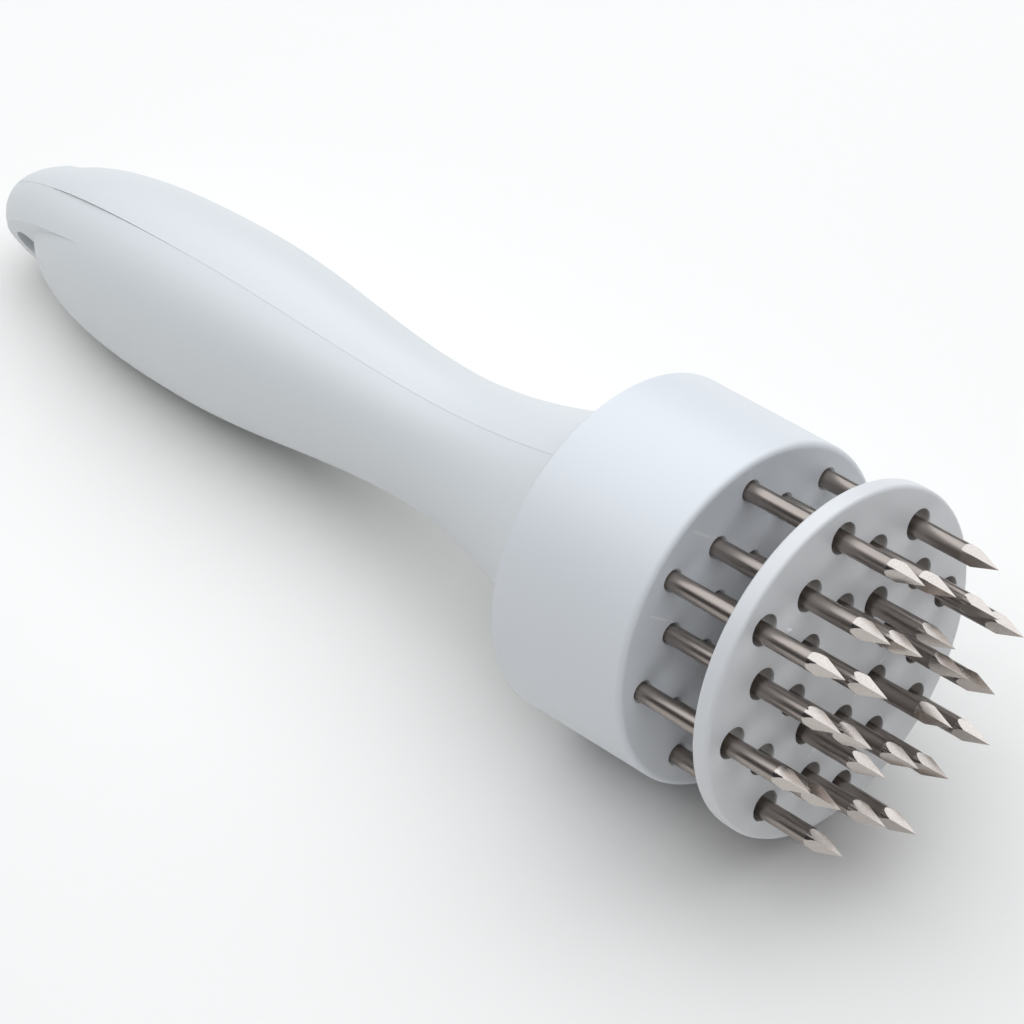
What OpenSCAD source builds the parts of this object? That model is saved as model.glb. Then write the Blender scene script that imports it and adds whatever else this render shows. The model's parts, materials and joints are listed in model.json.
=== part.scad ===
// Needle meat tenderizer: a round head full of pointed needles, a loose disc
// that slides on them and pushes the meat off, and a hollow two-part handle.
// The tool lies on a table, on the back rim of its head and on the handle's bulge.
// In its own axes the tool's front face is at z = 0 and the needles point to +z.

/* [Head] */
// Diameter of the head at its front edge
head_d = 55; // [52:0.5:60]
// How much wider the back rim is than the front edge
head_draft = 0.4; // [0:0.1:1]
// Length of the head
head_len = 26; // [22:0.5:34]
// Side wall of the head
head_wall = 2.3; // [2.1:0.1:2.4]
// Thickness of the front wall that guides the needles
front_wall = 5; // [4:0.25:7]
// Rounding of the front edge
front_round = 1; // [0.5:0.1:2]
// Chamfer of the back rim
rim_chamfer = 0.6; // [0.2:0.1:0.7]

/* [Needles] */
// Diameter of a needle
needle_d = 2.9; // [2.4:0.1:3.2]
// How far the needles stand out of the head
needle_reach = 31.8; // [26:0.2:38]
// Length of the four-sided point
point_len = 6; // [3:0.25:8]
// Diameter of the needle's own head, inside the tenderizer's head
nail_head_d = 4.4; // [3.8:0.1:4.6]
// Thickness of the needle's own head
nail_head_t = 1.2; // [0.8:0.1:2]
// How the four flats of a point are turned, from the seam to the viewer
point_turn = -25; // [-45:5:45]
// Distance of the outer ring of needles from the head's edge
outer_ring_in = 4.8; // [4.2:0.1:5.2]
// Distance from the outer to the middle ring
middle_ring_step = 4.7; // [4.4:0.1:5.2]
// Distance from the middle to the inner ring
inner_ring_step = 7.8; // [7.2:0.1:8.2]
// Chamfer round each needle where it leaves the head
entry_chamfer = 0.35; // [0.1:0.05:0.6]

/* [Pusher disc] */
// How much wider the disc is than the head's front edge
disc_over = 0.6; // [-1:0.1:2]
// Thickness of the disc
disc_t = 3; // [2:0.25:5]
// Rounding of the disc's edges
disc_round = 0.6; // [0.2:0.1:1]
// Gap between the head and the disc as it lies here
disc_gap = 14.1; // [8:0.1:18]
// Diameter of the disc's holes
disc_hole_d = 5; // [4.4:0.1:5.2]
// How far the loose disc sits off the tool's axis
disc_shift = 0.45; // [0:0.05:0.6]
// Direction of that shift, round the tool from the top of its seam
disc_shift_dir = 40; // [-180:5:180]

/* [Handle] */
// Length of the handle behind the head, with its hanging tab
handle_len = 148; // [142:0.5:160]
// Diameter of the handle where it flares out to the head
flare_d = 42; // [38:0.5:46]
// Length of the flare, from the head to the neck
flare_len = 39.5; // [32:0.5:48]
// How quickly the flare opens, 1 is a cone
flare_power = 1.85; // [1.4:0.05:2.6]
// Smallest diameter of the handle
neck_d = 23; // [20:0.2:26]
// Distance from the head to the widest place of the grip
bulge_at = 92.5; // [88:0.5:100]
// Largest diameter of the grip
bulge_d = 31.2; // [28:0.2:34]
// Fullness of the round grip's end, 2 is an ellipse
nose_power = 2.55; // [2.2:0.05:2.8]
// How far the flat hanging tab reaches past the round grip, on the near side
tab_reach = 11; // [9:0.5:12]
// The same on the far side, which carries on further
far_tab_reach = 6; // [4:0.5:8]
// Fullness of the tab's end, 2 is an ellipse
tab_power = 2.1; // [2:0.1:2.4]
// Thickness of the tab
tab_t = 13.5; // [11:0.5:15]
// Diameter of the hanging hole
hang_hole_d = 6; // [5:0.25:6.5]
// Distance of the hanging hole from the handle's end
hang_hole_in = 10.2; // [9.5:0.1:11.5]
// Wall of the hollow handle
shell_wall = 2.6; // [2:0.1:3.2]
// Length of the solid end
nose_solid = 21; // [18:0.5:26]
// Width of the fine groove along the seam
seam_w = 0.15; // [0.1:0.05:0.4]
// Depth of that groove
seam_deep = 0.06; // [0.05:0.01:0.2]
// Diameter of the two halves' alignment pins
pin_d = 2.4; // [2:0.1:3]
// How deep each alignment pin sits in the other half
pin_depth = 2.5; // [1.5:0.25:3]
// Thickness of the stiffening ribs
rib_t = 1.6; // [1.2:0.1:2.4]

/* [Inside the head] */
// Thickness of the handle's flange
flange_t = 3.5; // [3:0.25:5]
// How deep the flange sits behind the back rim
flange_inset = 0.8; // [0.6:0.1:1.5]
// Width of the ledge, cut into the wall, that stops the flange
seat_ledge = 0.7; // [0.5:0.1:0.8]
// Height of the snap bead round the flange
bead_h = 0.5; // [0.3:0.05:0.6]
// Thickness of the plate that clamps the needles
plate_t = 3; // [2.5:0.25:4.5]
// Distance from the inner ring of needles out to the clamp screws
screw_ring_step = 4.6; // [4.4:0.1:4.8]
// Number of clamp screws
screw_count = 4; // [2:2:4]
// Core diameter of a clamp screw
screw_core_d = 2.2; // [2:0.1:2.4]
// Length of a clamp screw under its head
screw_len = 6; // [5.25:0.25:6.5]
// Diameter of a clamp screw's head
screw_head_d = 4.6; // [4:0.1:5]

/* [Fits] */
// Radial gap between a needle and its hole in the head
needle_fit = 0.03; // [0.02:0.01:0.08]
// Radial gap round the handle's flange and the clamp plate
seat_fit = 0.15; // [0.1:0.05:0.3]
// Radial gap of alignment pins and clamp screws
pin_fit = 0.05; // [0.03:0.01:0.1]
// Gap along the tool between clamped pieces
face_gap = 0.05; // [0.02:0.01:0.1]

/* [How it lies] */
// Turn of the tool about its own axis, the seam leans to the viewer
roll = 20; // [0:0.5:45]

/* [Hidden] */
NEEDLES_PER_RING = 8;
RING_STEP = 360 / NEEDLES_PER_RING;
HALF_STEP = RING_STEP / 2;
SMOOTH = 96;
CUT = 1;
BIG = 200;
WHITE = [0.93, 0.95, 0.97];
STEEL = [0.45, 0.43, 0.42];
ZINC = [0.75, 0.76, 0.78];

head_r = head_d / 2;
rim_r = head_r + head_draft / 2;
cavity_r = rim_r - head_wall;
seat_r = cavity_r + seat_ledge;
seat_z = -head_len + flange_inset + flange_t;
bead_z = -head_len + flange_inset + flange_t / 2;
flange_r = seat_r - seat_fit;
flange_back_z = -head_len + flange_inset;

needle_r = needle_d / 2;
outer_ring_r = head_r - outer_ring_in;
middle_ring_r = outer_ring_r - middle_ring_step;
inner_ring_r = middle_ring_r - inner_ring_step;
plate_r = cavity_r - seat_fit;
plate_front_z = -front_wall - face_gap;
plate_back_z = plate_front_z - plate_t;
plate_rib_h = 2.5;
plate_rib_t = 1.6;
plate_rib_r = inner_ring_r;
screw_ring_r = inner_ring_r + screw_ring_step;
screw_r = screw_core_d / 2;
screw_room = 0.4;
screw_clearance_r = screw_r + screw_room;
screw_head_t = 1.7;
screw_slot_w = 0.8;
screw_slot_deep = 0.9;
screw_pilot_deep = screw_len - plate_t + screw_room;

handle_end_z = -head_len - handle_len;
neck_z = -head_len - flare_len;
bulge_z = -head_len - bulge_at;
tab_curve_len = handle_len - bulge_at;
nose_len = tab_curve_len - tab_reach;
far_nose_len = tab_curve_len - far_tab_reach;
tab_start_share = 0.41;
tab_start_z = bulge_z - tab_start_share * tab_curve_len;
hollow_start_z = flange_back_z + flange_t;
hollow_end_z = handle_end_z + nose_solid;
hang_hole_z = handle_end_z + hang_hole_in;
pin_r = pin_d / 2;
boss_wall = 1.5;
boss_sink = 0.9;
boss_r = pin_r + boss_wall;
rib_hole_r = 4;
socket_room = 4 * pin_fit;
rib_z = [for (share = [0.25, 0.5, 0.75]) hollow_start_z + share * (hollow_end_z - hollow_start_z)];
pin_offset = neck_d / 2 - shell_wall - boss_r + boss_sink;

disc_back_z = disc_gap;
disc_front_z = disc_gap + disc_t;
disc_r = head_r + disc_over / 2;
disc_hole_r = disc_hole_d / 2;
disc_centre = disc_shift * [-cos(disc_shift_dir), sin(disc_shift_dir)];

// Where every needle stands, seen along the tool: three rings of eight. The
// middle ring has needles on the seam, the other two stand half a step round.
function ring(r, turn) = [
    for (k = [0 : NEEDLES_PER_RING - 1])
        r * [-cos(turn + k * RING_STEP), sin(turn + k * RING_STEP)]
];
needle_places = concat(
    ring(inner_ring_r, HALF_STEP),
    ring(middle_ring_r, 0),
    ring(outer_ring_r, HALF_STEP)
);

// Radii of the handle at a place z on the tool's axis. Behind the bulge the grip
// rounds off over a nose of its own length on each side of the seam, and the flat
// tab, which keeps to the seam, rounds off last.
function flare_share(z) = (z - neck_z) / (flange_back_z - neck_z);
function grip_share(z) = (neck_z - z) / (neck_z - bulge_z);
function rounded_off(share, power) = pow(1 - pow(min(1, share), power), 1 / power);
function grip_r(z, nose) =
    z > neck_z ? neck_d / 2 + (flare_d - neck_d) / 2 * pow(flare_share(z), flare_power)
    : z > bulge_z ? neck_d / 2 + (bulge_d - neck_d) / 2 * (1 - cos(180 * grip_share(z))) / 2
    : bulge_d / 2 * rounded_off((bulge_z - z) / nose, nose_power);
function tab_r(z) = bulge_d / 2 * rounded_off((bulge_z - z) / tab_curve_len, tab_power);

flare_steps = 14;
grip_steps = 18;
nose_steps = 20;
flare_stations = [for (k = [0 : flare_steps]) flange_back_z + (neck_z - flange_back_z) * k / flare_steps];
grip_stations = [for (k = [1 : grip_steps]) neck_z + (bulge_z - neck_z) * k / grip_steps];
function nose_stations(length) = [for (k = [1 : nose_steps - 1]) bulge_z - length * sin(90 * k / nose_steps)];
function grip_line(nose) = [
    for (z = concat(flare_stations, grip_stations, nose_stations(nose))) [grip_r(z, nose), z]
];
tab_line = concat([for (z = nose_stations(tab_curve_len)) [tab_r(z), z]], [[0, handle_end_z]]);
near_line = grip_line(nose_len);
hollow_line = [for (p = near_line) if (p[1] > hollow_end_z) p - [shell_wall, 0]];
seam_line = concat([for (p = near_line) if (p[1] >= bulge_z) p], tab_line);

// How the tool lies: its axis tilts until the back rim and the grip both touch
// the table, which is the least slope between the rim and any place behind it.
rim_corner = [rim_r, -head_len + rim_chamfer];
tilt = min([
    for (p = concat(near_line, [for (q = tab_line) if (q[1] < tab_start_z) q]))
        if (p[1] < neck_z) atan((rim_corner[0] - p[0]) / (rim_corner[1] - p[1]))
]);
lift = rim_corner[0] * cos(tilt) - rim_corner[1] * sin(tilt);
back_x = min([for (p = seam_line) p[1] * cos(tilt) - p[0] * sin(tilt)]);
tip_heights = [for (p = needle_places) -p[0] * cos(roll) + p[1] * sin(roll)];
front_x = needle_reach * cos(tilt) - min(tip_heights) * sin(tilt);

module lie_down() {
    translate([-(back_x + front_x) / 2, 0, lift])
        rotate([0, 90 - tilt, 0])
            rotate([0, 0, roll])
                children();
}

// A quarter of a round edge in a turned outline, from one angle to another.
function arc(centre, r, from, to, steps) = [
    for (k = [0 : steps])
        centre + r * [cos(from + (to - from) * k / steps), sin(from + (to - from) * k / steps)]
];

module turned(outline) {
    rotate_extrude($fn = SMOOTH) polygon(outline);
}

// A half of the tool's space on one side of the seam: side is 1 or -1.
module half_space(side) {
    translate([-BIG / 2, side > 0 ? 0 : -BIG, -BIG]) cube([BIG, BIG, 2 * BIG]);
}

module needle_head() {
    head_outline = concat(
        [[0, 0]],
        arc([head_r - front_round, -front_round], front_round, 90, 0, 10),
        [
            rim_corner,
            [rim_r - rim_chamfer, -head_len],
            [seat_r, -head_len],
            [seat_r, bead_z - bead_h - seat_fit],
            [seat_r + bead_h, bead_z],
            [seat_r, bead_z + bead_h + seat_fit],
            [seat_r, seat_z + face_gap],
            [cavity_r, seat_z + face_gap],
            [cavity_r, -front_wall],
            [0, -front_wall]
        ]
    );
    color(WHITE) lie_down() difference() {
        turned(head_outline);
        for (p = needle_places) translate([p[0], p[1], -front_wall]) {
            translate([0, 0, -CUT]) cylinder(h = front_wall + 2 * CUT, r = needle_r + needle_fit, $fn = 32);
            translate([0, 0, -CUT])
                cylinder(h = CUT + nail_head_t + face_gap, r = nail_head_d / 2 + needle_fit, $fn = 32);
            translate([0, 0, front_wall - entry_chamfer])
                cylinder(
                    h = 2 * entry_chamfer,
                    r1 = needle_r + needle_fit,
                    r2 = needle_r + needle_fit + 2 * entry_chamfer,
                    $fn = 32
                );
        }
        at_clamp_screws(-front_wall - CUT)
            cylinder(h = CUT + screw_pilot_deep, r = screw_r + pin_fit, $fn = 24);
    }
}

module at_clamp_screws(z) {
    for (k = [0 : screw_count - 1])
        rotate([0, 0, HALF_STEP + k * 360 / screw_count])
            translate([screw_ring_r, 0, z])
                children();
}

module clamp_plate() {
    color(WHITE) lie_down() difference() {
        union() {
            translate([0, 0, plate_back_z]) cylinder(h = plate_t, r = plate_r, $fn = SMOOTH);
            translate([0, 0, plate_back_z - plate_rib_h])
                cylinder(h = plate_rib_h + plate_t / 2, r = plate_rib_r, $fn = SMOOTH);
        }
        translate([0, 0, plate_back_z - plate_rib_h - CUT])
            cylinder(h = plate_rib_h + CUT, r = plate_rib_r - plate_rib_t, $fn = SMOOTH);
        at_clamp_screws(plate_back_z - CUT)
            cylinder(h = plate_t + 2 * CUT, r = screw_clearance_r, $fn = 24);
    }
}

module clamp_screw() {
    difference() {
        union() {
            cylinder(h = screw_len, r = screw_r, $fn = 24);
            translate([0, 0, -screw_head_t]) cylinder(h = screw_head_t, r = screw_head_d / 2, $fn = 32);
        }
        for (turn = [0, 90]) rotate([0, 0, turn])
            translate([-screw_head_d / 4, -screw_slot_w / 2, -screw_head_t - CUT])
                cube([screw_head_d / 2, screw_slot_w, CUT + screw_slot_deep]);
    }
}

module clamp_screws() {
    color(ZINC) lie_down() at_clamp_screws(plate_back_z - face_gap) clamp_screw();
}

// One needle: a nail with a flat head and a point cut by four flats.
module needle(place) {
    shank_end = needle_reach - point_len;
    flat_slope = atan(needle_r / point_len);
    color(STEEL) lie_down() translate([place[0], place[1], 0]) difference() {
        union() {
            translate([0, 0, -front_wall]) cylinder(h = nail_head_t, r = nail_head_d / 2, $fn = 32);
            translate([0, 0, -front_wall]) cylinder(h = front_wall + needle_reach, r = needle_r, $fn = 32);
        }
        for (side = [0 : 3]) rotate([0, 0, point_turn + side * 90])
            translate([needle_r, -needle_d, shank_end])
                rotate([0, -flat_slope, 0])
                    cube([needle_d, 2 * needle_d, 2 * point_len]);
    }
}

module pusher_disc() {
    disc_outline = concat(
        [[0, disc_back_z]],
        arc([disc_r - disc_round, disc_back_z + disc_round], disc_round, -90, 0, 6),
        arc([disc_r - disc_round, disc_front_z - disc_round], disc_round, 0, 90, 6),
        [[0, disc_front_z]]
    );
    color(WHITE) lie_down() translate([disc_centre[0], disc_centre[1], 0]) difference() {
        turned(disc_outline);
        for (p = needle_places) translate([p[0], p[1], disc_back_z - CUT])
            cylinder(h = disc_t + 2 * CUT, r = disc_hole_r, $fn = 40);
    }
}

// The handle's outer form with its flange and snap bead, for a nose of one length.
module handle_form(nose) {
    flange_outline = [
        [0, hollow_start_z],
        [flange_r, hollow_start_z],
        [flange_r, bead_z + bead_h],
        [flange_r + bead_h, bead_z],
        [flange_r, bead_z - bead_h],
        [flange_r, flange_back_z]
    ];
    difference() {
        union() {
            turned(concat(flange_outline, grip_line(nose), [[0, bulge_z - nose]]));
            hanging_tab();
        }
        seam_groove();
        translate([0, 0, hang_hole_z])
            rotate([90, 0, 0])
                cylinder(h = BIG, r = hang_hole_d / 2, center = true, $fn = 48);
    }
}

// The flat tab that stands out of the grip's end.
module hanging_tab() {
    intersection() {
        turned(concat([[0, bulge_z], [bulge_d / 2, bulge_z]], tab_line));
        translate([-BIG / 2, -tab_t / 2, handle_end_z - CUT])
            cube([BIG, tab_t, tab_start_z - handle_end_z + CUT]);
    }
}

// The fine groove where the two halves meet, round the handle's outline.
module seam_groove() {
    mirrored = [for (k = [len(seam_line) - 1 : -1 : 0]) [-seam_line[k][0], seam_line[k][1]]];
    rotate([90, 0, 0]) linear_extrude(height = seam_w, center = true) difference() {
        translate([-BIG / 2, handle_end_z - CUT]) square([BIG, -head_len - handle_end_z + CUT]);
        offset(delta = -seam_deep) polygon(concat([[0, 0]], seam_line, mirrored));
    }
}

// The hollow inside, less the ribs and the bosses of the alignment pins.
module handle_hollow() {
    hollow_outline = concat(
        [[0, hollow_start_z + CUT], [flare_d / 2 - shell_wall, hollow_start_z + CUT]],
        hollow_line,
        [[grip_r(hollow_end_z, nose_len) - shell_wall, hollow_end_z], [0, hollow_end_z]]
    );
    difference() {
        turned(hollow_outline);
        for (z = rib_z) {
            difference() {
                translate([0, 0, z - rib_t / 2]) cylinder(h = rib_t, r = bulge_d, $fn = SMOOTH);
                translate([0, 0, z - rib_t]) cylinder(h = 2 * rib_t, r = rib_hole_r, $fn = 32);
            }
            at_pins(z) cylinder(h = BIG, r = boss_r, center = true, $fn = 32);
        }
    }
}

// Both alignment pins of one rib, each lying across the seam.
module at_pins(z) {
    for (side = [-1, 1])
        translate([side * pin_offset, 0, z])
            rotate([90, 0, 0])
                children();
}

module handle_half(side) {
    difference() {
        intersection() {
            handle_form(side < 0 ? nose_len : far_nose_len);
            half_space(side);
        }
        handle_hollow();
    }
}

module handle_near_half() {
    color(WHITE) lie_down() union() {
        handle_half(-1);
        for (z = rib_z) at_pins(z)
            translate([0, 0, -pin_depth]) cylinder(h = pin_depth + boss_r, r = pin_r, $fn = 32);
    }
}

module handle_far_half() {
    color(WHITE) lie_down() difference() {
        handle_half(1);
        for (z = rib_z) at_pins(z)
            translate([0, 0, -pin_depth - socket_room])
                cylinder(h = pin_depth + socket_room + CUT, r = pin_r + pin_fit, $fn = 32);
    }
}

needle_names = [
    for (k = [1 : len(needle_places)]) str("needle_", k < 10 ? "0" : "", k)
];

handle_near_half();
handle_far_half();
needle_head();
clamp_plate();
clamp_screws();
pusher_disc();
for (k = [0 : len(needle_places) - 1])
    needle(needle_places[k]);
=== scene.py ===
# %% [markdown]
# # A needle meat tenderizer on a white table
# The tool is moulded from white plastic: a hollow grip, a round head and a loose disc. Twenty-four
# steel needles stand in the head and pass through holes in the disc, which slides along them.
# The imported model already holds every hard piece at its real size, in metres, lying as it does in
# the photograph: +X runs along the tool to the needle points and +Z is up. It could be modelled
# again here, but then nothing would promise that it still fits. So it is loaded as a fixed frame,
# and this lesson gives it a camera, a studio, finishes and the small marks that moulding leaves.

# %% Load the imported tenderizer
import json
import math
import bpy
from mathutils import Matrix, Vector


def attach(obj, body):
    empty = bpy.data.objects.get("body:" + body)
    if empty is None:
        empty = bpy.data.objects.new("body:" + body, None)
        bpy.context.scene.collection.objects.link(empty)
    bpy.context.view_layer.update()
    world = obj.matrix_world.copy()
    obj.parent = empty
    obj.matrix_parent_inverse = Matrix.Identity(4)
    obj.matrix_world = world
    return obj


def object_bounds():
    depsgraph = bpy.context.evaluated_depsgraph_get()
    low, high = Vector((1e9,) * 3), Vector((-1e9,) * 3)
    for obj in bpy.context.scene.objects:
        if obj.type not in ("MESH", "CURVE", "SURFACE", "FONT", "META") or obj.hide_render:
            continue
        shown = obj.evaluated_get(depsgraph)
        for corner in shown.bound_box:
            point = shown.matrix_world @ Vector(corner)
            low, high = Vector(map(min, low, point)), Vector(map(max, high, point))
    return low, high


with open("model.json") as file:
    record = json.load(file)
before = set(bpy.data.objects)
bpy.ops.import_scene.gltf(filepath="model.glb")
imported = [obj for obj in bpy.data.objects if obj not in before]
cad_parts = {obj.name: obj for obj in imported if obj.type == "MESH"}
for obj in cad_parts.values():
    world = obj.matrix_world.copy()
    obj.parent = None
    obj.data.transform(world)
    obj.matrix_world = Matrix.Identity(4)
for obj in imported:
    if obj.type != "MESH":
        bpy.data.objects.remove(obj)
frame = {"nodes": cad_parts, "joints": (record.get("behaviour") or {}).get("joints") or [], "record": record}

MM = 0.001
cad_low, cad_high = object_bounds()
cad_size_mm = [round(side / MM, 1) for side in cad_high - cad_low]
print("CAD nodes:", len(frame["nodes"]), "box mm:", cad_size_mm)

# %% [markdown]
# ## The tool's own axes
# The needles' direction isn't quite +X, because the tool leans on its head and on the bulge of its
# grip. Finishes such as drawn wire and moulding marks follow the tool and not the table, so they
# need its axes. They could be typed in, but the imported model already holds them. The disc's joint
# slides along the tool, and the hanging hole crosses it square to the seam. The third direction
# follows from those two, and the front of a piece is the furthest that its mesh reaches.

# %% The tool's axes
slide = frame["joints"][0]
hole = frame["record"]["mounts"][0]
tool_z = Vector(slide["axis"]).normalized()
tool_y = Vector(hole["axis"]).normalized()
tool_x = tool_y.cross(tool_z)
TOOL_TURN = Matrix((tool_x, tool_y, tool_z)).transposed().to_euler()
on_axis = Vector(hole["pos_m"])
print("tool leans", round(math.degrees(math.asin(tool_z.z)), 2), "degrees")


# %% Fronts of the head and the disc
def ends(node_name):
    """Where along the tool a node starts and ends, counted from the hanging hole."""
    places = [(v.co - on_axis).dot(tool_z) for v in frame["nodes"][node_name].data.vertices]
    return min(places), max(places)


head_end = ends("needle_head")[1]
disc_start, disc_end = ends("pusher_disc")
head_front = on_axis + tool_z * head_end
disc_front = on_axis + tool_z * disc_end
print("disc's front is", round((disc_end - head_end) / MM, 2), "mm off the head")

# %% [markdown]
# ## Camera
# The photograph looks down on the tool from its needle end, at about 43 degrees, through a long
# lens: the head's back and front rims are nearly the same ellipse. The place and the lens were
# worked out from those ellipses, the needles' spacing and the line of the handle. A camera could
# be aimed with a constraint, but two turns about fixed axes say plainly what it does.

# %% Camera
LENS_MM = 116.456
SENSOR_MM = 36
CAMERA_AZIMUTH = math.radians(45.579)
CAMERA_ELEVATION = math.radians(43.490)
CAMERA_PLACE = Vector((0.285858, -0.260727, 0.371128))

camera_data = bpy.data.cameras.new("camera")
camera_data.lens = LENS_MM
camera_data.sensor_width = SENSOR_MM
camera = bpy.data.objects.new("camera", camera_data)
bpy.context.scene.collection.objects.link(camera)
camera.location = CAMERA_PLACE
camera.rotation_euler = (math.pi / 2 - CAMERA_ELEVATION, 0, CAMERA_AZIMUTH)
bpy.context.scene.camera = camera
print("camera to head:", round((CAMERA_PLACE - head_front).length, 3), "m")

# %% [markdown]
# ## Table and light
# The tool lies on plain white under one very large softbox. Light from straight above leaves the
# front of the head and of the disc in gentle shade, and the white table throws some of it back up
# under the handle. The softbox is moved a little back and towards the handle, so that the needles
# and the upper flats of their points mirror it. A sky picture would light the tool too, but one
# wide lamp is easier to place and needs no file. Standard colour, not a film look, keeps white
# white.

# %% Table
TABLE_SIZE = 4.0

bpy.ops.object.select_all(action="DESELECT")
bpy.ops.mesh.primitive_plane_add(size=TABLE_SIZE, location=(0, 0, 0))
table = bpy.context.object
table.name = "table"
print("table:", TABLE_SIZE, "m square")

# %% Softbox
SOFTBOX_PLACE = (-0.25, 0.3, 1.0)
SOFTBOX_SIZE = 2.3
SOFTBOX_WATTS = 28.0
SOFTBOX_COLOUR = (0.94, 0.97, 1.0)

softbox_data = bpy.data.lights.new("overhead", "AREA")
softbox_data.shape = "SQUARE"
softbox_data.size = SOFTBOX_SIZE
softbox_data.energy = SOFTBOX_WATTS
softbox_data.color = SOFTBOX_COLOUR
softbox = bpy.data.objects.new("overhead", softbox_data)
bpy.context.scene.collection.objects.link(softbox)
softbox.location = SOFTBOX_PLACE
print("softbox:", SOFTBOX_SIZE, "m wide at", SOFTBOX_PLACE)

# %% Room light
ROOM_COLOUR = (0.9, 0.93, 1.0, 1)
ROOM_STRENGTH = 0.05

world = bpy.data.worlds.new("studio")
bpy.context.scene.world = world
world.use_nodes = True
background = world.node_tree.nodes["Background"]
background.inputs["Color"].default_value = ROOM_COLOUR
background.inputs["Strength"].default_value = ROOM_STRENGTH
bpy.context.scene.view_settings.view_transform = "Standard"
print("room light:", ROOM_STRENGTH)

# %% [markdown]
# ## Helpers for finishes
# Every finish below is a small node graph. Colours are written the way a paint program shows them,
# so one function turns them into the linear values that the renderer counts in. Another adds a
# node with its settings and its links, so that a finish reads as a list of what it is made of. A
# Mix node names its sockets alike for every kind of value, so its colour sockets go by number.

# %% Finish helpers
MIX_FROM = 6
MIX_TO = 7
MIX_COLOUR = 2
SOFT_DETAIL = 2.0
FINE_DETAIL = 3.0


def srgb(code):
    """Linear colour of an sRGB hex code."""
    channels = [int(code[i:i + 2], 16) / 255 for i in (1, 3, 5)]
    linear = [c / 12.92 if c <= 0.04045 else ((c + 0.055) / 1.055) ** 2.4 for c in channels]
    return linear + [1.0]


def add(material, kind, links=None, **settings):
    """Adds a node; links maps its inputs to other nodes' outputs, or to plain values."""
    node = material.node_tree.nodes.new(kind)
    for name, value in settings.items():
        setattr(node, name, value)
    for socket, source in (links or {}).items():
        if isinstance(source, bpy.types.NodeSocket):
            material.node_tree.links.new(source, node.inputs[socket])
        else:
            node.inputs[socket].default_value = source
    return node


def new_finish(name):
    """A material with its shader and output, and the object's own coordinates."""
    material = bpy.data.materials.new(name)
    material.use_nodes = True
    material.node_tree.nodes.clear()
    place = add(material, "ShaderNodeTexCoord").outputs["Object"]
    shader = add(material, "ShaderNodeBsdfPrincipled")
    add(material, "ShaderNodeOutputMaterial", {"Surface": shader.outputs["BSDF"]})
    return material, place, shader


def feed(material, shader, **sources):
    """Links outputs to the shader's inputs; an underscore in a name stands for a space."""
    for name, source in sources.items():
        material.node_tree.links.new(source, shader.inputs[name.replace("_", " ")])


def along_tool(material, place, origin, size):
    """Places turned to the tool's axes and counted from an origin, in lengths of size."""
    return add(material, "ShaderNodeMapping", {
        "Vector": place, "Location": origin, "Rotation": TOOL_TURN, "Scale": size},
        vector_type="TEXTURE").outputs["Vector"]


def wear(material, node_object):
    """Gives a CAD node or a piece this finish alone."""
    node_object.data.materials.clear()
    node_object.data.materials.append(material)


# %% [markdown]
# ## Satin moulded plastic
# The grip, the head and the disc are injection moulded and come out of a blasted steel mould, so
# they are satin: broad soft highlights and no reflections. Three things keep it from looking like
# a computer's white. The tone drifts a little over centimetres as the plastic cooled unevenly, the
# gloss drifts with it where hands have polished it, and the blasted mould leaves a fine grain.

# %% Satin plastic
DRIFT_MM = 35
GRAIN_MM = 0.5
GRAIN_DEEP_MM = 0.03
GRAIN_STRENGTH = 0.12
GLOSS_DRIFT = 0.05
PLASTIC_IOR = 1.49


def satin_tone(material, place, tone, shade):
    """A slow drift between two tones, with the noise that it follows."""
    drift = add(material, "ShaderNodeTexNoise", {
        "Vector": place, "Scale": 1 / (DRIFT_MM * MM), "Detail": SOFT_DETAIL}).outputs["Fac"]
    colour = add(material, "ShaderNodeMix", {
        "Factor": drift, MIX_FROM: srgb(tone), MIX_TO: srgb(shade)}, data_type="RGBA")
    return colour.outputs[MIX_COLOUR], drift


def satin_surface(material, place, shader, drift, roughness):
    """The blasted mould's grain, and a gloss that drifts with the tone."""
    gloss = add(material, "ShaderNodeMapRange", {
        "Value": drift, "To Min": roughness - GLOSS_DRIFT, "To Max": roughness + GLOSS_DRIFT})
    grain = add(material, "ShaderNodeTexNoise", {
        "Vector": place, "Scale": 1 / (GRAIN_MM * MM), "Detail": FINE_DETAIL})
    relief = add(material, "ShaderNodeBump", {
        "Height": grain.outputs["Fac"], "Strength": GRAIN_STRENGTH,
        "Distance": GRAIN_DEEP_MM * MM})
    feed(material, shader, Roughness=gloss.outputs["Result"], Normal=relief.outputs["Normal"])
    shader.inputs["IOR"].default_value = PLASTIC_IOR


# %% [markdown]
# ## The grip
# The grip is polypropylene, which comes out of the mould a little duller than the head. Its tone
# drifts from a cool white to a slightly deeper one. It could be one plain colour, but on so long
# and smooth a form that would be the first thing to look false.

# %% Handle plastic
HANDLE_ROUGHNESS = 0.42

handle_finish, place, shader = new_finish("blasted_white_polypropylene")
colour, drift = satin_tone(handle_finish, place, "#E6E9EB", "#E1E4E6")
satin_surface(handle_finish, place, shader, drift, HANDLE_ROUGHNESS)
feed(handle_finish, shader, Base_Color=colour)
print("handle:", handle_finish.name)

# %% [markdown]
# ## Knit lines
# Molten plastic flows round each pin of a mould and meets itself behind it. Where the two fronts
# meet, a hair-fine lighter line stays: a knit line. The photograph shows one across the disc and
# two short ones on the head. They could be thin strips of mesh, but they have no height to catch
# the light, so they belong to the finish. A Mapping node turns the object's coordinates into
# millimetres along and across the line, and noise breaks the line up. A line with more coverage
# shows from a lower level of that noise on.

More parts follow.
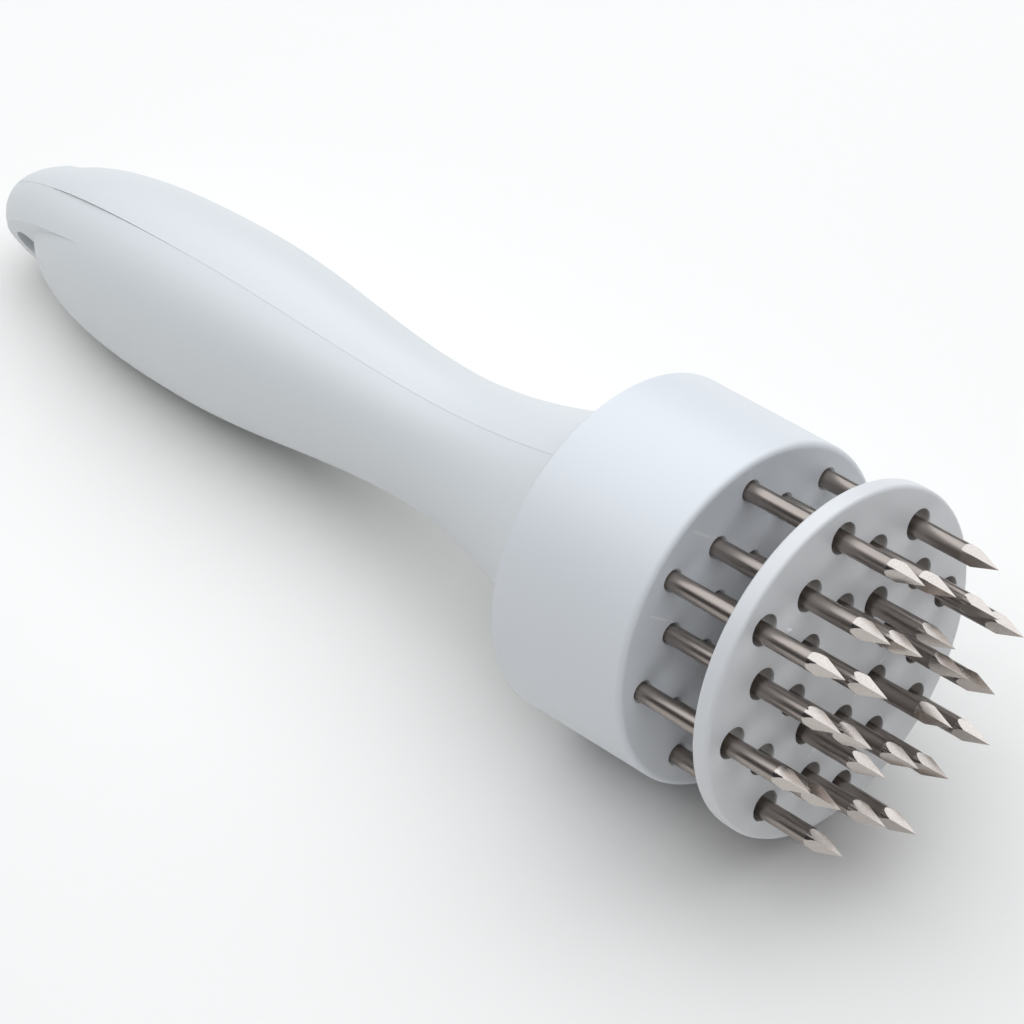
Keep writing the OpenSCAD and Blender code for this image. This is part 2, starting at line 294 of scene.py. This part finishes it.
# %% Knit line
BREAKS_PER_MM = 0.35
BREAK_ENDS = 0.62
LINE_FULL = 0.68
COVERAGE_PULL = 0.25


def knit_line(material, place, start, end, width_mm, coverage):
    """A mask, 1 on a fine broken line between two places on the tool's face."""
    run = end - start
    middle_mm = run.length / MM / 2
    across = tool_z.cross(run).normalized()
    turn = Matrix((run.normalized(), across, tool_z)).transposed().to_euler()
    local = add(material, "ShaderNodeMapping", {
        "Vector": place, "Location": start, "Rotation": turn, "Scale": (MM, MM, MM)},
        vector_type="TEXTURE").outputs["Vector"]
    split = add(material, "ShaderNodeSeparateXYZ", {"Vector": local})
    aside = add(material, "ShaderNodeMath", {
        0: split.outputs["Y"]}, operation="ABSOLUTE").outputs[0]
    on_line = add(material, "ShaderNodeMapRange", {
        "Value": aside, "From Min": width_mm / 2, "From Max": width_mm,
        "To Min": 1.0, "To Max": 0.0}).outputs["Result"]
    from_middle = add(material, "ShaderNodeMath", {
        0: split.outputs["X"], 1: middle_mm}, operation="SUBTRACT").outputs[0]
    length_away = add(material, "ShaderNodeMath", {
        0: from_middle}, operation="ABSOLUTE").outputs[0]
    in_run = add(material, "ShaderNodeMath", {
        0: length_away, 1: middle_mm}, operation="LESS_THAN").outputs[0]
    broken = add(material, "ShaderNodeTexNoise", {
        "Vector": local, "Scale": BREAKS_PER_MM, "Detail": SOFT_DETAIL}).outputs["Fac"]
    pull = coverage * COVERAGE_PULL
    whole = add(material, "ShaderNodeMapRange", {
        "Value": broken, "From Min": BREAK_ENDS - pull,
        "From Max": LINE_FULL - pull}).outputs["Result"]
    mask = add(material, "ShaderNodeMath", {
        0: on_line, 1: in_run}, operation="MULTIPLY").outputs[0]
    return add(material, "ShaderNodeMath", {
        0: mask, 1: whole}, operation="MULTIPLY").outputs[0]


def tint(material, colour, mask, other):
    """Mixes a colour towards another one where the mask is 1."""
    return add(material, "ShaderNodeMix", {
        "Factor": mask, MIX_FROM: colour, MIX_TO: srgb(other)},
        data_type="RGBA").outputs[MIX_COLOUR]


def on_face(face, x_mm, y_mm):
    """A place on one of the tool's round faces, from millimetres along its own x and y."""
    return face + tool_x * (x_mm * MM) + tool_y * (y_mm * MM)


# %% [markdown]
# ## The head
# The head is ABS, a shade lighter and bluer than the grip and a little glossier. Its two knit
# lines start among the needles and run out towards the rim. They could be placed in the table's
# coordinates, but each is given by its two ends on the front face, so that it stays there if the
# tool leans otherwise.

# %% Head plastic
HEAD_KNITS_MM = (((-19.6, 0.4), (-25.6, -2.6)), ((-14.0, -11.5), (-20.6, -15.0)))
HEAD_KNIT_WIDE_MM = 0.22
HEAD_KNIT_COVERAGE = 0.8
HEAD_ROUGHNESS = 0.40

head_finish, place, shader = new_finish("blasted_white_abs_head")
colour, drift = satin_tone(head_finish, place, "#E8EBEF", "#E3E6EA")
for start_mm, end_mm in HEAD_KNITS_MM:
    start = on_face(head_front, *start_mm)
    end = on_face(head_front, *end_mm)
    mask = knit_line(head_finish, place, start, end, HEAD_KNIT_WIDE_MM, HEAD_KNIT_COVERAGE)
    colour = tint(head_finish, colour, mask, "#F6F6F7")
satin_surface(head_finish, place, shader, drift, HEAD_ROUGHNESS)
feed(head_finish, shader, Base_Color=colour)
print("head:", head_finish.name, "with", len(HEAD_KNITS_MM), "knit lines")

# %% [markdown]
# ## Painted shade in the disc's holes
# The disc slides on 24 steel needles. The walls of its holes are painted a darker grey, as painted
# shade, so that each hole looks deep. The walls could be picked out face by face, but then a
# imported mesh with other faces would need a new list. How deep a place lies below the disc's
# front says it as well: between the two faces there is nothing but the walls of the holes and,
# further out, the rim.

# %% Walls of the holes
SHADE_STARTS_MM = 0.05
SHADE_FULL_MM = 0.6
RIM_WIDTH_MM = 1.5
disc_thick_mm = (disc_end - disc_start) / MM
disc_radius_mm = max(
    (v.co - disc_front).cross(tool_z).length
    for v in frame["nodes"]["pusher_disc"].data.vertices) / MM
print("disc:", round(disc_thick_mm, 2), "mm thick,", round(disc_radius_mm, 2), "mm in radius")


def hole_wall_shade(material, place):
    """A mask for the painted shade: 1 on the walls of the disc's holes and 0 on its faces and rim."""
    local = along_tool(material, place, disc_front, (MM, MM, MM))
    split = add(material, "ShaderNodeSeparateXYZ", {"Vector": local})
    depth = add(material, "ShaderNodeMath", {
        0: split.outputs["Z"], 1: -1.0}, operation="MULTIPLY").outputs[0]
    below = add(material, "ShaderNodeMapRange", {
        "Value": depth, "From Min": SHADE_STARTS_MM, "From Max": SHADE_FULL_MM}).outputs["Result"]
    above = add(material, "ShaderNodeMath", {
        0: depth, 1: disc_thick_mm - SHADE_STARTS_MM}, operation="LESS_THAN").outputs[0]
    flat = add(material, "ShaderNodeVectorMath", {
        0: local, 1: (1, 1, 0)}, operation="MULTIPLY").outputs[0]
    out = add(material, "ShaderNodeVectorMath", {0: flat}, operation="LENGTH").outputs["Value"]
    inside = add(material, "ShaderNodeMath", {
        0: out, 1: disc_radius_mm - RIM_WIDTH_MM}, operation="LESS_THAN").outputs[0]
    between = add(material, "ShaderNodeMath", {
        0: below, 1: above}, operation="MULTIPLY").outputs[0]
    return add(material, "ShaderNodeMath", {
        0: between, 1: inside}, operation="MULTIPLY").outputs[0]


# %% [markdown]
# ## The disc
# The disc is ABS like the head but rubs on the needles and on meat, so it is the glossiest of the
# three. One long knit line crosses its front. It could share the head's finish, but then the
# head's front would show the disc's line as well.

# %% Disc plastic
DISC_KNIT_MM = ((6.2, 17.0), (9.9, -23.3))
DISC_KNIT_WIDE_MM = 0.2
DISC_KNIT_COVERAGE = 0.6
DISC_ROUGHNESS = 0.38

disc_finish, place, shader = new_finish("blasted_white_abs_disc")
colour, drift = satin_tone(disc_finish, place, "#E8E9EB", "#E3E4E6")
start = on_face(disc_front, *DISC_KNIT_MM[0])
end = on_face(disc_front, *DISC_KNIT_MM[1])
mask = knit_line(disc_finish, place, start, end, DISC_KNIT_WIDE_MM, DISC_KNIT_COVERAGE)
colour = tint(disc_finish, colour, mask, "#FFFFFF")
# Painted shade: the walls of the holes are tinted grey so that each hole looks deep.
colour = tint(disc_finish, colour, hole_wall_shade(disc_finish, place), "#C0BCB8")
satin_surface(disc_finish, place, shader, drift, DISC_ROUGHNESS)
feed(disc_finish, shader, Base_Color=colour)
print("disc:", disc_finish.name, "knit line", round((end - start).length / MM, 1), "mm")

# %% [markdown]
# ## Drawn and ground steel
# Needles are cut from drawn stainless wire and their points are ground on afterwards. The drawn
# shank keeps a dull brownish skin with faint lines along it, so its reflection is a soft grey
# streak. The four flats of the point are bright, with fine marks where the wheel crossed them. It
# could be two materials, but one that looks how far along the tool it is suits all the needles,
# because all their shoulders lie in one plane. Mapping nodes turn the patterns to the tool's axes.

# %% Where the points start
POINT_LENGTH_MM = 6
shoulder = ends("needle_01")[1] - head_end - POINT_LENGTH_MM * MM
print("the points start", round(shoulder / MM, 2), "mm off the head")

# %% Drawn steel
LINE_LONG_MM = 18
LINE_WIDE_MM = 0.25
STEEL_GLOSS_DRIFT = 0.04


def drawn_lines(material, place):
    """Noise stretched along the wire, for its tone, its gloss and its relief."""
    wide = LINE_WIDE_MM * MM
    stretched = along_tool(material, place, head_front, (wide, wide, LINE_LONG_MM * MM))
    return add(material, "ShaderNodeTexNoise", {
        "Vector": stretched, "Scale": 1.0, "Detail": FINE_DETAIL}).outputs["Fac"]


def steel_tone(material, pattern, tone, shade):
    """Two tones of steel that follow a pattern."""
    return add(material, "ShaderNodeMix", {
        "Factor": pattern, MIX_FROM: srgb(tone), MIX_TO: srgb(shade)},
        data_type="RGBA").outputs[MIX_COLOUR]


def steel_gloss(material, pattern, roughness):
    """A roughness that wavers a little with a pattern."""
    return add(material, "ShaderNodeMapRange", {
        "Value": pattern, "To Min": roughness - STEEL_GLOSS_DRIFT,
        "To Max": roughness + STEEL_GLOSS_DRIFT}).outputs["Result"]


# %% Needle steel
GRIND_MM = 0.3
LINE_DEEP_MM = 0.02
LINE_STRENGTH = 0.12
SHANK_ROUGHNESS = 0.32
POINT_ROUGHNESS = 0.16

needle_finish, place, shader = new_finish("drawn_stainless_with_ground_points")
lines = drawn_lines(needle_finish, place)
marks = add(needle_finish, "ShaderNodeTexNoise", {
    "Vector": place, "Scale": 1 / (GRIND_MM * MM), "Detail": SOFT_DETAIL}).outputs["Fac"]
from_head = add(needle_finish, "ShaderNodeSeparateXYZ", {
    "Vector": along_tool(needle_finish, place, head_front, (1, 1, 1))}).outputs["Z"]
ground = add(needle_finish, "ShaderNodeMath", {
    0: from_head, 1: shoulder}, operation="GREATER_THAN").outputs[0]
tone = add(needle_finish, "ShaderNodeMix", {
    "Factor": ground, MIX_FROM: steel_tone(needle_finish, lines, "#A89F99", "#928983"),
    MIX_TO: steel_tone(needle_finish, marks, "#C8C1BC", "#B3ABA5")},
    data_type="RGBA").outputs[MIX_COLOUR]
gloss = add(needle_finish, "ShaderNodeMix", {
    "Factor": ground, "A": steel_gloss(needle_finish, lines, SHANK_ROUGHNESS),
    "B": steel_gloss(needle_finish, marks, POINT_ROUGHNESS)}).outputs["Result"]
relief = add(needle_finish, "ShaderNodeBump", {
    "Height": lines, "Strength": LINE_STRENGTH, "Distance": LINE_DEEP_MM * MM})
feed(needle_finish, shader, Base_Color=tone, Roughness=gloss, Normal=relief.outputs["Normal"])
shader.inputs["Metallic"].default_value = 1.0
print("needles:", needle_finish.name)

# %% [markdown]
# ## Screws
# The four screws are plain steel with a thin coat of zinc: a cool light grey with a dull shine.
# They are shut up in the head, so nobody sees them unless the head is hidden. They still get the
# right finish, and the helpers for the needles make it in a few lines.

# %% Screw steel
SCREW_ROUGHNESS = 0.35

screw_finish, place, shader = new_finish("zinc_plated_steel")
lines = drawn_lines(screw_finish, place)
tone = steel_tone(screw_finish, lines, "#C6C9CD", "#B4B8BE")
gloss = steel_gloss(screw_finish, lines, SCREW_ROUGHNESS)
feed(screw_finish, shader, Base_Color=tone, Roughness=gloss)
shader.inputs["Metallic"].default_value = 1.0
print("screws:", screw_finish.name)

# %% [markdown]
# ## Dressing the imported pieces
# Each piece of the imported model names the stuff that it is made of. The finishes could be handed
# out by the pieces' names, but the stuff's name says the same in five lines for all thirty.

# %% Dress the CAD nodes
FINISH_OF_SLOT = {
    "handle_plastic": handle_finish,
    "head_plastic": head_finish,
    "disc_plastic": disc_finish,
    "needle_steel": needle_finish,
    "screw_steel": screw_finish,
}
for part in frame["record"]["subparts"]:
    wear(FINISH_OF_SLOT[part["material_slot"]], frame["nodes"][part["node"]])

# %% [markdown]
# ## A flake of flash
# Flash is the thin skin of plastic that creeps out where a mould's halves or pins meet. One crumb
# of it is still on the front of the disc, by a hole, and shows as a tiny bright spot. It starts as
# a small cone of few sides, laid on the disc, and its tip is pulled over so that it curls.

# %% Flake on the disc
FLAKE_PLACE_MM = (-16.8, -5.15)
FLAKE_SIDES = 9
FLAKE_WIDE_MM = 1.1
FLAKE_TIP_MM = 0.44
FLAKE_HIGH_MM = 0.45
FLAKE_SUNK_MM = 0.02

bpy.ops.object.select_all(action="DESELECT")
flake_place = on_face(disc_front, *FLAKE_PLACE_MM)
bpy.ops.mesh.primitive_cone_add(
    vertices=FLAKE_SIDES, radius1=FLAKE_WIDE_MM * MM / 2, radius2=FLAKE_TIP_MM * MM / 2,
    depth=FLAKE_HIGH_MM * MM, rotation=TOOL_TURN,
    location=flake_place + tool_z * ((FLAKE_HIGH_MM / 2 - FLAKE_SUNK_MM) * MM))
flake = bpy.context.object
flake.name = "disc_flash_flake"
bpy.ops.object.transform_apply(location=True, rotation=True, scale=True)
print("flake: a cone with", len(flake.data.vertices), "corners")

# %% Curl the flake
CURL_X_MM = 0.1
CURL_Y_MM = 0.3
SOFT_EDGE_MM = 0.06
SOFT_EDGE_STEPS = 2

tip_level = (flake_place + tool_z * (FLAKE_HIGH_MM * MM / 2)).dot(tool_z)
bpy.ops.object.mode_set(mode="EDIT")
bpy.ops.mesh.select_all(action="DESELECT")
bpy.ops.object.mode_set(mode="OBJECT")
for vertex in flake.data.vertices:
    vertex.select = vertex.co.dot(tool_z) > tip_level
bpy.ops.object.mode_set(mode="EDIT")
bpy.ops.transform.translate(value=tool_x * (CURL_X_MM * MM) + tool_y * (CURL_Y_MM * MM))
bpy.ops.object.mode_set(mode="OBJECT")
bevel = flake.modifiers.new("soft edges", "BEVEL")
bevel.width = SOFT_EDGE_MM * MM
bevel.segments = SOFT_EDGE_STEPS
bpy.ops.object.modifier_apply(modifier=bevel.name)
wear(disc_finish, flake)
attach(flake, "pusher")
print("flake:", len(flake.data.polygons), "faces")

# %% [markdown]
# ## The table's white
# The table is matt painted board, the plainest white that still takes a soft shadow. It could be
# one flat colour. Two whites a hair apart, in patches a third of a metre wide, keep it from
# looking cut out of paper.

# %% Table finish
MOTTLES_PER_M = 3.0
TABLE_ROUGHNESS = 0.9

table_finish, place, shader = new_finish("matt_white_table")
mottle = add(table_finish, "ShaderNodeTexNoise", {"Vector": place, "Scale": MOTTLES_PER_M})
table_tone = add(table_finish, "ShaderNodeMix", {
    "Factor": mottle.outputs["Fac"], MIX_FROM: srgb("#FAF8F5"), MIX_TO: srgb("#F8F6F3")},
    data_type="RGBA")
feed(table_finish, shader, Base_Color=table_tone.outputs[MIX_COLOUR])
shader.inputs["Roughness"].default_value = TABLE_ROUGHNESS
wear(table_finish, table)
print("table:", table_finish.name)
